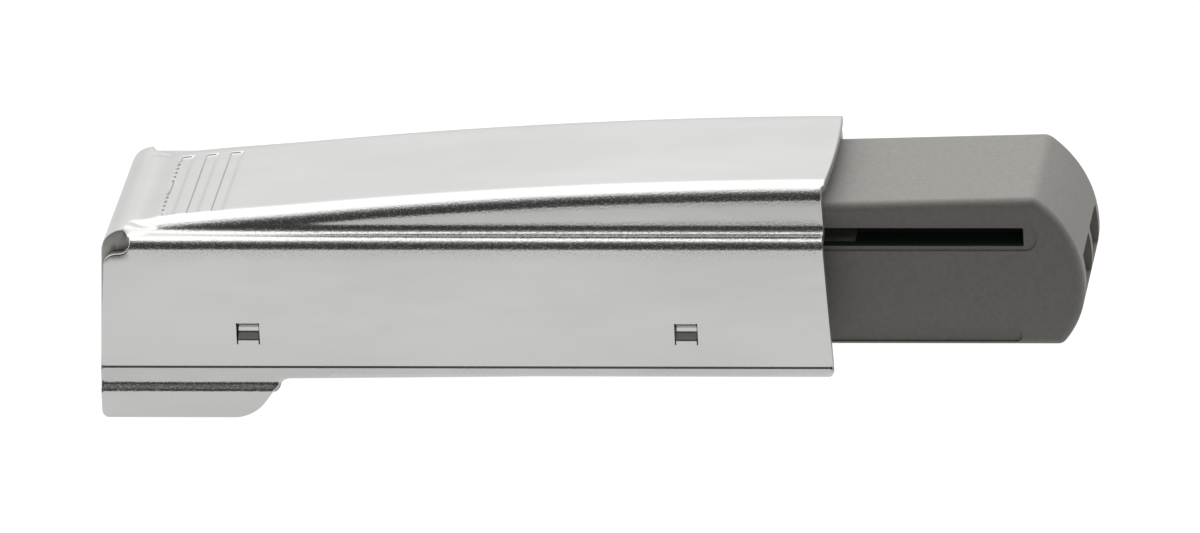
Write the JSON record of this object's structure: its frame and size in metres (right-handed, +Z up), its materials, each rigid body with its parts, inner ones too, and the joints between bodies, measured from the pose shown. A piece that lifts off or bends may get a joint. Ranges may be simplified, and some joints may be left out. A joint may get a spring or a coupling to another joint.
{
  "type": "soft close damper",
  "caption": "Clip-on soft close damper for a concealed hinge arm: folded steel housing with a sprung plastic plunger that slides in against a fluid damper.",
  "frame": {"origin": "middle plane, at the rear end of the housing, level with the crease at the foot of its side walls", "axes": "+X along the stroke towards the plunger's nose, +Z up from the feet to the crown, Y across"},
  "size_m": [0.0811, 0.0216, 0.0192],
  "materials": {
    "plated_steel": "nickel plated, fine rolled grain",
    "grey_plastic": "fine spark-eroded grain",
    "seat_plastic": "fine grain",
    "cylinder_metal": "drawn tube",
    "cap_plastic": "smooth",
    "seal_rubber": "matt",
    "bright_steel": "ground",
    "foam": "closed-cell foam",
    "piston_plastic": "smooth",
    "spring_steel": "drawn wire"
  },
  "bodies": {
    "housing_unit": {"housing": "plated_steel", "carrier": "seat_plastic", "piston_rod": "bright_steel", "piston": "piston_plastic", "piston_ring": "piston_plastic", "rod_clip": "bright_steel", "return_spring": "spring_steel"},
    "plunger_unit": {"plunger": "grey_plastic", "damper_cylinder": "cylinder_metal", "cylinder_cap": "cap_plastic", "rod_seal": "seal_rubber", "seal_washer": "bright_steel", "foam_sleeve": "foam"}
  },
  "joints": [
    {"name": "plunger_slide", "type": "slide", "parent": "housing_unit", "child": "plunger_unit", "axis": [1, 0, 0], "range_m": [-0.0165, 0], "stiffness_N_per_m": 150, "springref_m": 0.02, "deforming": ["return_spring"]}
  ]
}
